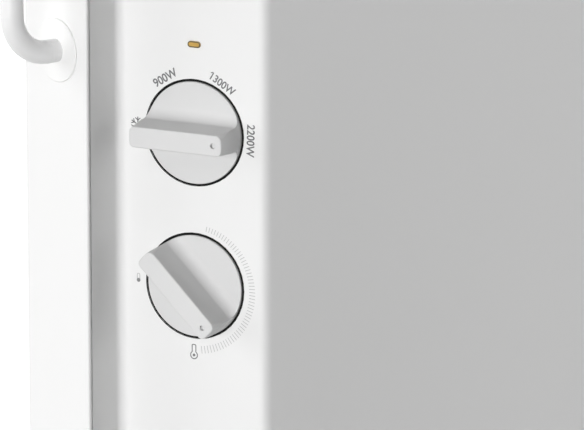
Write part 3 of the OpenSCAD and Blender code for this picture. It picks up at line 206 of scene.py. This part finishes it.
# Flat drawings, in mm. A print starts just under the face, and one that lies over another starts at the face
PRINT_THICK = 0.03
FIRST_LAYER = -0.01
SECOND_LAYER = 0.0

# Text: half its thickness and its middle's height over the face, then its raw depth and added weight as
# shares of the type's size
TEXT_HALF_THICK = 0.016
TEXT_MIDDLE = 0.01
TEXT_EXTRUDE = 0.004
TEXT_WEIGHT = 0.018


def add_mesh(name, mesh, mat, body, slot):
    """A new piece that rides on a body, with the material given. Its slot is not used."""
    obj = bpy.data.objects.new(name, mesh)
    bpy.context.scene.collection.objects.link(obj)
    obj.data.materials.clear()
    obj.data.materials.append(mat)
    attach(obj, body)
    return obj


def panel_frame(centre, u, v, w, turn=0.0):
    """Panel axes in mm from a knob's axis: u to the front, v up, w outward. It turns clockwise, in degrees."""
    base = Matrix(((0, 0, -1, 0), (-1, 0, 0, 0), (0, 1, 0, 0), (0, 0, 0, 1)))
    place = Matrix.Translation(centre + Vector((-w * MM, -u * MM, v * MM)))
    return place @ base @ Matrix.Rotation(-math.radians(turn), 4, "Z")


def polar(r, deg):
    """A point at a radius and an angle, in degrees from +y, clockwise."""
    a = math.radians(deg)
    return r * math.sin(a), r * math.cos(a)


def prism(bm, points, depth):
    """A straight solid over an outline, from z = 0 up."""
    low = [bm.verts.new((x * MM, y * MM, 0)) for x, y in points]
    high = [bm.verts.new((x * MM, y * MM, depth * MM)) for x, y in points]
    n = len(points)
    bm.faces.new(high)
    bm.faces.new(list(reversed(low)))
    for i in range(n):
        bm.faces.new((low[i], low[(i + 1) % n], high[(i + 1) % n], high[i]))


def disc(r, pieces=28):
    """A round outline about the origin."""
    steps = [2 * math.pi * i / pieces for i in range(pieces)]
    return [(r * math.cos(a), r * math.sin(a)) for a in steps]


def stroke(start, end, line):
    """A straight line of some width."""
    (ax, ay), (bx, by) = start, end
    long = math.hypot(bx - ax, by - ay)
    nx, ny = -(by - ay) / long * line / 2, (bx - ax) / long * line / 2
    return [(ax + nx, ay + ny), (ax - nx, ay - ny), (bx - nx, by - ny), (bx + nx, by + ny)]


def band(centre, inner, outer, start, sweep, pieces=30):
    """Pieces of a flat ring from the start angle over the sweep, with polar's angles."""
    cx, cy = centre
    out = []
    for i in range(pieces):
        sx, sy = polar(1, start + sweep * i / pieces)
        ex, ey = polar(1, start + sweep * (i + 1) / pieces)
        corners = ((inner, sx, sy), (outer, sx, sy), (outer, ex, ey), (inner, ex, ey))
        out.append([(cx + r * x, cy + r * y) for r, x, y in corners])
    return out


def arc(centre, r, line, start, sweep, pieces=30):
    """A curved line of some width round a centre."""
    return band(centre, r - line / 2, r + line / 2, start, sweep, pieces)


def drawing(name, shapes, matrix, mat, depth=PRINT_THICK, slot="casing_paint"):
    """One piece of the casing, made of flat shapes."""
    bm = bmesh.new()
    for shape in shapes:
        prism(bm, shape, depth)
    bmesh.ops.recalc_face_normals(bm, faces=bm.faces[:])
    bm.transform(matrix)
    mesh = bpy.data.meshes.new(name)
    bm.to_mesh(mesh)
    bm.free()
    return add_mesh(name, mesh, mat, "casing", slot)


def text_mesh(name, words):
    """Words in the built-in font, as a mesh."""
    curve = bpy.data.curves.new(name, "FONT")
    curve.body = words
    curve.extrude = TEXT_EXTRUDE
    curve.offset = TEXT_WEIGHT
    temp = bpy.data.objects.new(name + "_outline", curve)
    bpy.context.scene.collection.objects.link(temp)
    bpy.context.view_layer.update()
    mesh = bpy.data.meshes.new_from_object(temp.evaluated_get(bpy.context.evaluated_depsgraph_get()))
    bpy.data.objects.remove(temp)
    bpy.data.curves.remove(curve)
    return mesh


def legend(name, words, centre, radius, turn, high, wide):
    """Words at a radius and an angle from a knob's axis, scaled to a height and a width."""
    mesh = text_mesh(name, words)
    xs = [v.co.x for v in mesh.vertices]
    ys = [v.co.y for v in mesh.vertices]
    middle = Vector(((min(xs) + max(xs)) / 2, (min(ys) + max(ys)) / 2, 0))
    scale = (wide * MM / (max(xs) - min(xs)), high * MM / (max(ys) - min(ys)),
             TEXT_HALF_THICK * MM / TEXT_EXTRUDE, 1)
    fit = Matrix.Diagonal(scale) @ Matrix.Translation(-middle)
    mesh.transform(panel_frame(centre, *polar(radius, turn), TEXT_MIDDLE, turn) @ fit)
    return add_mesh(name, mesh, INK, "casing", "casing_paint")


# Power steps
RADIUS_1300W = 25.8
TURN_1300W = 31
HIGH_1300W = 3.5
WIDE_1300W = 12.6
FLAG_IN = 0.1
FLAG_LONG = 0.9
FLAG_DROP = 0.8
FLAG_LINE = 0.42

legend("legend_900w", "900W", POWER, radius=26.3, turn=-31.8, high=3.8, wide=12.2)
legend("legend_1300w", "1300W", POWER, RADIUS_1300W, TURN_1300W, HIGH_1300W, WIDE_1300W)
legend("legend_2200w", "2200W", POWER, radius=26.2, turn=92, high=3.7, wide=14.0)

# The flag that the photograph's 1 has in 1300W
flag_top = (FLAG_IN - WIDE_1300W / 2, HIGH_1300W / 2)
flag_end = (flag_top[0] - FLAG_LONG, flag_top[1] - FLAG_DROP)
place_1300w = panel_frame(POWER, *polar(RADIUS_1300W, TURN_1300W), SECOND_LAYER, TURN_1300W)
drawing("legend_flag", [stroke(flag_top, flag_end, FLAG_LINE)], place_1300w, INK)

# Frost sign
FROST_AT = (-26.9, 0.7)
FLAKE_ARMS = 6
ARM_LONG = 3.4
ARM_LINE = 0.5
BRANCH_FROM = 1.9
BRANCH_TO = 3.2
BRANCH_SPREAD = 22
BRANCH_LINE = 0.42

flake = []
for k in range(FLAKE_ARMS):
    arm_turn = 360 / FLAKE_ARMS * k
    flake.append(stroke((0, 0), polar(ARM_LONG, arm_turn), ARM_LINE))
    for side in (-BRANCH_SPREAD, BRANCH_SPREAD):
        flake.append(stroke(polar(BRANCH_FROM, arm_turn), polar(BRANCH_TO, arm_turn + side), BRANCH_LINE))
drawing("legend_frost", flake, panel_frame(POWER, *FROST_AT, FIRST_LAYER), INK)

# Thermostat scale: its ticks grow and move out from the first to the last
TICKS = 55
TICK_START = 12
TICK_STEP = 3
TICK_LINE = 0.3
FIRST_TICK = (24.6, 26.9)
TICK_DRIFT = (1.7, 2.7)

ticks = []
for i in range(TICKS):
    deg = TICK_START + TICK_STEP * i
    part = i / (TICKS - 1)
    foot, head = [r + drift * part for r, drift in zip(FIRST_TICK, TICK_DRIFT)]
    ticks.append(stroke(polar(foot, deg), polar(head, deg), TICK_LINE))
drawing("thermostat_scale", ticks, panel_frame(THERMO, 0, 0, FIRST_LAYER), PALE_INK)


def uprights(half, low, high, line):
    """Both sides of a thermometer's tube."""
    return [stroke((x, low), (x, high), line) for x in (-half, half)]


# Small thermometer at the cool end
COOL_AT = (-27.0, -0.6)
COOL_HALF = 0.6
COOL_LOW = 0.5
COOL_HIGH = 2.3
COOL_LINE = 0.32
COOL_BULB_R = 0.85

cool = uprights(COOL_HALF, COOL_LOW, COOL_HIGH, COOL_LINE)
cool += arc((0, COOL_HIGH), COOL_HALF, COOL_LINE, start=-90, sweep=180, pieces=12)
drawing("legend_cool", cool, panel_frame(THERMO, *COOL_AT, FIRST_LAYER), PALE_INK)
drawing("legend_cool_bulb", [disc(COOL_BULB_R)], panel_frame(THERMO, *COOL_AT, SECOND_LAYER), MID_INK)

# Large thermometer at the warm end: a ring open for the tube, and a tube with rounded corners
WARM_AT = (-0.75, -30.5)
WARM_LINE = 0.44
WARM_BULB_R = 1.62
WARM_CORE_R = 0.62
WARM_MOUTH = 34
WARM_HALF = 0.87
WARM_LOW = 1.3
WARM_HIGH = 4.1
WARM_ROUND = 0.52

warm = arc((0, 0), WARM_BULB_R, WARM_LINE, start=WARM_MOUTH, sweep=360 - 2 * WARM_MOUTH)
warm += uprights(WARM_HALF, WARM_LOW, WARM_HIGH, WARM_LINE)
flat = WARM_HALF - WARM_ROUND
for x, start in ((-flat, -90), (flat, 0)):
    warm += arc((x, WARM_HIGH), WARM_ROUND, WARM_LINE, start, sweep=90, pieces=8)
warm.append(stroke((-flat, WARM_HIGH + WARM_ROUND), (flat, WARM_HIGH + WARM_ROUND), WARM_LINE))
warm.append(disc(WARM_CORE_R))
drawing("legend_warm", warm, panel_frame(THERMO, *WARM_AT, FIRST_LAYER), INK)

# Painted shade at the edge of the lamp's lens: a dark line just inside the rim of its face
LENS_LINE = 0.5
LENS_RIM = 0.02

lens_end = (LENS_LONG - LENS_WIDE) / 2
lens_line_r = LENS_WIDE / 2 - LENS_RIM - LENS_LINE / 2
edge = []
for x, start in ((lens_end, 0), (-lens_end, 180)):
    edge += arc((x, 0), lens_line_r, LENS_LINE, start, sweep=180, pieces=16)
for y in (-lens_line_r, lens_line_r):
    edge.append(stroke((-lens_end, y), (lens_end, y), LENS_LINE))
lens_face = panel_frame(POWER, 0, LAMP_RISE, LENS_PROUD + FIRST_LAYER)
drawing("lens_edge", edge, lens_face, LENS_EDGE_SHADE, slot="amber_lens")

# Painted shade in the gaps round the knobs: a dark ring below the face, clear of the knob and set into the
# hole's wall
SHADE_CLEAR = 0.05
SHADE_BITE = 0.02
SHADE_IN = KNOB_R + SHADE_CLEAR
SHADE_OUT = HOLE_R + SHADE_BITE
SHADE_BELOW = 0.2
SHADE_DEEP = 0.8

# Painted shade on the face: a dark crescent along the left half of the hole's edge, widest a little below the
# middle
CRESCENT_OVERHANG = 0.05
CRESCENT_LEAST = 0.01
CRESCENT_SWELL = 0.3
CRESCENT_AT = 250
CRESCENT_STEP = 3
CRESCENT_THICK = 0.02


def gap_shade(name, centre):
    """The painted shade of one knob's gap: a dark ring below the face and a dark crescent on it."""
    ring = band((0, 0), SHADE_IN, SHADE_OUT, start=0, sweep=360, pieces=96)
    drawing(name, ring, panel_frame(centre, 0, 0, -SHADE_BELOW - SHADE_DEEP), GAP_SHADE_DARK, depth=SHADE_DEEP)
    shade_crescent = []
    for deg in range(CRESCENT_AT - 90, CRESCENT_AT + 90, CRESCENT_STEP):
        ends = (deg, deg + CRESCENT_STEP)
        swells = [CRESCENT_SWELL * math.cos(math.radians(end - CRESCENT_AT)) for end in ends]
        outer = [polar(HOLE_R + CRESCENT_LEAST + swell, end) for swell, end in zip(swells, ends)]
        inner = [polar(HOLE_R - CRESCENT_OVERHANG, end) for end in ends]
        shade_crescent.append([inner[0], outer[0], outer[1], inner[1]])
    drawing(name + "_crescent", shade_crescent, panel_frame(centre, 0, 0, FIRST_LAYER), GAP_SHADE_DARK, depth=CRESCENT_THICK)


gap_shade("power_gap_shade", POWER)
gap_shade("thermostat_gap_shade", THERMO)

# Screw recesses: how far a cutter stands over the head in mm, how many degrees each screw is turned from the
# one before it, and the distance in metres at which corner points are welded
CUTTER_OVER = 0.5
SCREW_TURN = 37
WELD = 1e-6


def cross(arm, wide):
    """A cross with four equal arms, as one outline."""
    a, w = arm / 2, wide / 2
    return [(w, w), (w, a), (-w, a), (-w, w), (-a, w), (-a, -w),
            (-w, -w), (-w, -a), (w, -a), (w, -w), (a, -w), (a, w)]


def islands(bm):
    """Corner points of each separate solid, in a fixed order."""
    seen = set()
    for start in bm.verts:
        if start.index in seen:
            continue
        seen.add(start.index)
        stack, points = [start], []
        while stack:
            v = stack.pop()
            points.append(v.co.copy())
            for edge in v.link_edges:
                other = edge.other_vert(v)
                if other.index not in seen:
                    seen.add(other.index)
                    stack.append(other)
        yield points


def head_top(points, axis):
    """The middle of the end that a screw's box has toward the axis."""
    low = Vector([min(p[k] for p in points) for k in range(3)])
    high = Vector([max(p[k] for p in points) for k in range(3)])
    return (low + high) / 2 + axis * abs(axis.dot(high - low)) / 2


def linked(name, bm):
    """An object made from a bmesh, which is freed."""
    mesh = bpy.data.meshes.new(name)
    bm.to_mesh(mesh)
    bm.free()
    obj = bpy.data.objects.new(name, mesh)
    bpy.context.scene.collection.objects.link(obj)
    return obj


def difference(solid, cutter):
    """The mesh of one object less another. Both objects are removed."""
    cut = solid.modifiers.new("recess", "BOOLEAN")
    cut.object = cutter
    cut.operation = "DIFFERENCE"
    cut.solver = "EXACT"
    bpy.context.view_layer.update()
    mesh = bpy.data.meshes.new_from_object(solid.evaluated_get(bpy.context.evaluated_depsgraph_get()))
    bpy.data.objects.remove(solid)
    bpy.data.objects.remove(cutter)
    return mesh


def recess_screws(node, axis, arm, wide, deep):
    """Replaces a node's screws by a copy with a cross recess in each head, each turned its own way."""
    axis = Vector(axis)
    heads, cutters = bmesh.new(), bmesh.new()
    heads.from_mesh(frame["nodes"][node].data)
    bmesh.ops.remove_doubles(heads, verts=heads.verts[:], dist=WELD)
    heads.verts.index_update()
    upright = axis.to_track_quat("Z", "Y").to_matrix().to_4x4()
    sink = Matrix.Translation((0, 0, -deep * MM))
    for i, points in enumerate(islands(heads)):
        before = len(cutters.verts)
        prism(cutters, cross(arm, wide), deep + CUTTER_OVER)
        cutters.verts.ensure_lookup_table()
        turned = Matrix.Rotation(math.radians(SCREW_TURN * i), 4, "Z")
        place = Matrix.Translation(head_top(points, axis)) @ upright @ turned @ sink
        bmesh.ops.transform(cutters, matrix=place, verts=cutters.verts[before:])
    bmesh.ops.recalc_face_normals(cutters, faces=cutters.faces[:])
    mesh = difference(linked(node + "_cut", heads), linked(node + "_cutters", cutters))
    slot = slot_of[node]
    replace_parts(add_mesh(node + "_recessed", mesh, MATS[slot], "casing", slot), node)


recess_screws("casing_screws", (0, 1, 0), arm=3.9, wide=0.95, deep=1.6)
recess_screws("foot_screws", (0, 0, -1), arm=4.5, wide=1.1, deep=1.8)

# Camera, fitted to the ellipses of both knobs. The pixels are the photograph's: how many a mm takes at the
# knobs, its focal length and size, and where the power knob's axis meets the panel
AZ = math.radians(26.0)
EL = math.radians(14.2)
PX_PER_MM = 2.38
FOCAL_PX = 6300.0
PHOTO_WIDE_PX = 584
PHOTO_HIGH_PX = 430
POWER_X_PX = 194.75
POWER_Y_PX = 132.6
SENSOR = 36.0
CAMERA_REACH = 50.0

metres_per_px = MM / PX_PER_MM
right = Vector((math.sin(AZ), -math.cos(AZ), 0))
up = Vector((math.cos(AZ) * math.sin(EL), math.sin(AZ) * math.sin(EL), math.cos(EL)))
toward = Vector((-math.cos(AZ) * math.cos(EL), -math.sin(AZ) * math.cos(EL), math.sin(EL)))
target = (POWER + right * ((PHOTO_WIDE_PX / 2 - POWER_X_PX) * metres_per_px)
          - up * ((PHOTO_HIGH_PX / 2 - POWER_Y_PX) * metres_per_px))
cam = bpy.data.cameras.new("camera")
cam.sensor_width = SENSOR
cam.lens = SENSOR * FOCAL_PX / PHOTO_WIDE_PX
cam.clip_end = CAMERA_REACH
cam_obj = bpy.data.objects.new("camera", cam)
bpy.context.scene.collection.objects.link(cam_obj)
cam_turn = Matrix((right, up, toward)).transposed().to_4x4()
cam_obj.matrix_world = Matrix.Translation(target + toward * (FOCAL_PX * metres_per_px)) @ cam_turn
bpy.context.scene.camera = cam_obj

# Stage: white to the rays that see it, and a grey floor and a dim world to the rays that light the object
FLOOR_SIZE = 14.0
FLOOR_WHITE = 0.98
FLOOR_GREY = 0.5
FLOOR_GLOW = 0.9
FLOOR_ROUGH = 0.9
AMBIENT = 0.118


def seen_rays(tree):
    """1 for camera, glossy and transmission rays, so that mirrors and glass show the pale background too."""
    path = tree.nodes.new("ShaderNodeLightPath")
    total = path.outputs["Is Camera Ray"]
    for kind in ("Is Glossy Ray", "Is Transmission Ray"):
        both = tree.nodes.new("ShaderNodeMath")
        both.operation = "MAXIMUM"
        tree.links.new(total, both.inputs[0])
        tree.links.new(path.outputs[kind], both.inputs[1])
        total = both.outputs["Value"]
    return total


def paper():
    """The floor's material."""
    mat, tree, bsdf = node_tree("floor_paper")
    seen = seen_rays(tree)
    tone = add_node(tree, "MixRGB", Color1=grey(FLOOR_GREY) + (1,), Color2=grey(FLOOR_WHITE) + (1,))
    tree.links.new(seen, tone.inputs["Fac"])
    tree.links.new(tone.outputs["Color"], bsdf.inputs["Base Color"])
    tree.links.new(seen, bsdf.inputs["Emission Strength"])
    bsdf.inputs["Emission Color"].default_value = grey(FLOOR_GLOW) + (1,)
    bsdf.inputs["Roughness"].default_value = FLOOR_ROUGH
    bsdf.inputs["Specular IOR Level"].default_value = 0.0
    return mat


bpy.ops.mesh.primitive_plane_add(size=FLOOR_SIZE, location=(0, 0, 0))
floor = bpy.context.object
floor.name = "floor"
floor.data.materials.append(paper())

world = bpy.data.worlds.new("studio")
bpy.context.scene.world = world
world.use_nodes = True
sky = world.node_tree
sky.nodes.clear()
sky_out = sky.nodes.new("ShaderNodeOutputWorld")
plain = add_node(sky, "Background", Color=(1, 1, 1, 1), Strength=1.0)
ambient = add_node(sky, "Background", Color=(1, 1, 1, 1), Strength=AMBIENT)
pick = sky.nodes.new("ShaderNodeMixShader")
sky.links.new(seen_rays(sky), pick.inputs["Fac"])
sky.links.new(ambient.outputs["Background"], pick.inputs[1])
sky.links.new(plain.outputs["Background"], pick.inputs[2])
sky.links.new(pick.outputs["Shader"], sky_out.inputs["Surface"])


# Lights
def place_lamp(name, data, direction, at=(0, 0, 0)):
    """A lamp at a point, which shines from the direction given."""
    obj = bpy.data.objects.new(name, data)
    bpy.context.scene.collection.objects.link(obj)
    obj.matrix_world = Matrix.Translation(at) @ Vector(direction).to_track_quat("Z", "Y").to_matrix().to_4x4()
    return obj


def sun(name, direction, strength, angle):
    data = bpy.data.lights.new(name, "SUN")
    data.energy = strength
    data.angle = math.radians(angle)
    return place_lamp(name, data, direction)


def card(name, at, aim, watts, size):
    data = bpy.data.lights.new(name, "AREA")
    data.energy = watts
    data.size = size
    return place_lamp(name, data, Vector(at) - Vector(aim), at)


sun("back", (-0.30, 0.90, 0.25), strength=1.45, angle=60)
sun("top", (-0.10, -0.10, 1.0), strength=0.1, angle=80)
sun("far_right", (0.85, -0.50, 0.10), strength=2.18, angle=50)
panel_head = sun("panel_head", (-1.0, -0.02, 0.02), strength=2.0, angle=6)
sun("panel_up", (-0.80, -0.10, 0.55), strength=0.17, angle=12)
sun("panel_soft", (-1.0, -0.05, 0.05), strength=0.24, angle=30)
sun("panel_left", (-0.85, 0.45, 0.25), strength=0.09, angle=30)
sun("front_head", (0.10, -1.0, 0.10), strength=0.21, angle=20)
card("front_low", at=(0.02, -0.35, 0.10), aim=(-0.05, -0.10, 0.20), watts=0.05, size=0.2)

# The rail casts no hard shadow from the head-on light
unblocked = bpy.data.collections.new("panel_head_unblocked")
for name in ("rail", "rail_plate_left"):
    unblocked.objects.link(frame["nodes"][name])
panel_head.light_linking.blocker_collection = unblocked
for item in unblocked.collection_objects:
    item.light_linking.link_state = "EXCLUDE"

bpy.context.scene.view_settings.view_transform = "Standard"
bpy.context.scene.view_settings.look = "None"
